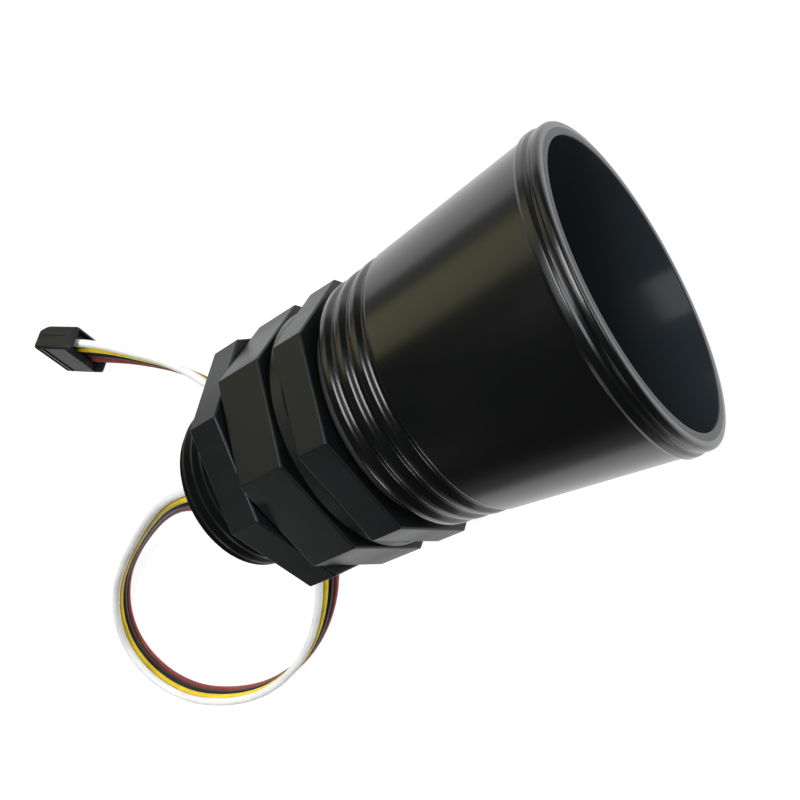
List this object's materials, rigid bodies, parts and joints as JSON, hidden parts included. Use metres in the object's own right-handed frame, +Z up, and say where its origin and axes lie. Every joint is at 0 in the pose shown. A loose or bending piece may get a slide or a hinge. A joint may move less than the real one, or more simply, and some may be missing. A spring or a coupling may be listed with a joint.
{
  "type": "ultrasonic distance sensor",
  "caption": "Waterproof ultrasonic distance sensor: flared horn on a pipe-threaded body with octagonal lock nuts and a ribbon lead ending in a crimp connector.",
  "frame": {"origin": "on the floor under the middle of the sensor's length, the lead not counted", "axes": "+X from the lead's end towards the horn's mouth, +Z up; the sensor lies on its side on two nut corners and the bead around its mouth"},
  "size_m": [0.1292, 0.0795, 0.043],
  "materials": {
    "shell_plastic": "satin moulded black",
    "nut_plastic": "satin moulded black",
    "washer_plastic": "matt",
    "seal_rubber": "matt",
    "ring_plastic": "satin",
    "sleeve_silicone": "matt",
    "can_aluminium": "satin",
    "piezo_ceramic": "fired ceramic",
    "foam_grey": "open foam",
    "base_plastic": "matt",
    "pin_brass": "plain",
    "board_green": "solder mask",
    "header_white": "plain",
    "transformer_yellow": "taped winding",
    "crystal_steel": "plain",
    "capacitor_tan": "fired ceramic",
    "chip_black": "matt",
    "plug_potting": "cast",
    "connector_plastic": "matt moulded",
    "contact_tin": "tin plated",
    "insulation_white": "extruded",
    "insulation_yellow": "extruded",
    "insulation_black": "extruded",
    "insulation_red": "extruded"
  },
  "bodies": {
    "sensor": {"horn": "shell_plastic", "threaded_body": "shell_plastic", "neck_seal": "seal_rubber", "transducer_ring": "ring_plastic", "isolating_sleeve": "sleeve_silicone", "transducer_can": "can_aluminium", "piezo_disc": "piezo_ceramic", "damping_foam": "foam_grey", "transducer_base": "base_plastic", "transducer_pin_left": "pin_brass", "transducer_pin_right": "pin_brass", "circuit_board": "board_green", "wire_header": "header_white", "step_up_transformer": "transformer_yellow", "crystal": "crystal_steel", "filter_capacitor_1": "capacitor_tan", "filter_capacitor_2": "capacitor_tan", "filter_capacitor_3": "capacitor_tan", "microcontroller": "chip_black", "echo_amplifier": "chip_black", "bulk_capacitor": "can_aluminium", "rear_plug": "plug_potting", "cable_boot": "plug_potting", "connector_housing": "connector_plastic", "wire_white": "insulation_white", "lead_white": "insulation_white", "crimp_contact_white": "contact_tin", "wire_yellow": "insulation_yellow", "lead_yellow": "insulation_yellow", "crimp_contact_yellow": "contact_tin", "wire_black": "insulation_black", "lead_black": "insulation_black", "crimp_contact_black": "contact_tin", "wire_red": "insulation_red", "lead_red": "insulation_red", "crimp_contact_red": "contact_tin"},
    "front_washer": {"panel_gasket": "seal_rubber"},
    "front_nut": {"front_lock_nut": "nut_plastic"},
    "rear_washer": {"rear_washer": "washer_plastic"},
    "rear_nut": {"rear_lock_nut": "nut_plastic"}
  },
  "joints": [
    {"name": "front_nut_travel", "type": "slide", "parent": "sensor", "child": "front_washer", "axis": [-0.9992, 0, -0.0404], "range_m": [0, 0.00363]},
    {"name": "front_nut_turn", "type": "hinge", "parent": "front_washer", "child": "front_nut", "pos_m": [-0.03307, 0, 0.01887], "axis": [-0.9992, 0, -0.0404], "range_deg": [0, 720]},
    {"name": "rear_nut_travel", "type": "slide", "parent": "front_nut", "child": "rear_washer", "axis": [-0.9992, 0, -0.0404], "range_m": [0, 0.00545]},
    {"name": "rear_nut_turn", "type": "hinge", "parent": "rear_washer", "child": "rear_nut", "pos_m": [-0.03307, 0, 0.01887], "axis": [-0.9992, 0, -0.0404], "range_deg": [0, 1080]}
  ],
  "couplings": [
    {"joint": "front_nut_travel", "follows": "front_nut_turn", "m_per_rad": 0.00028871},
    {"joint": "rear_nut_travel", "follows": "rear_nut_turn", "m_per_rad": 0.00028871}
  ]
}
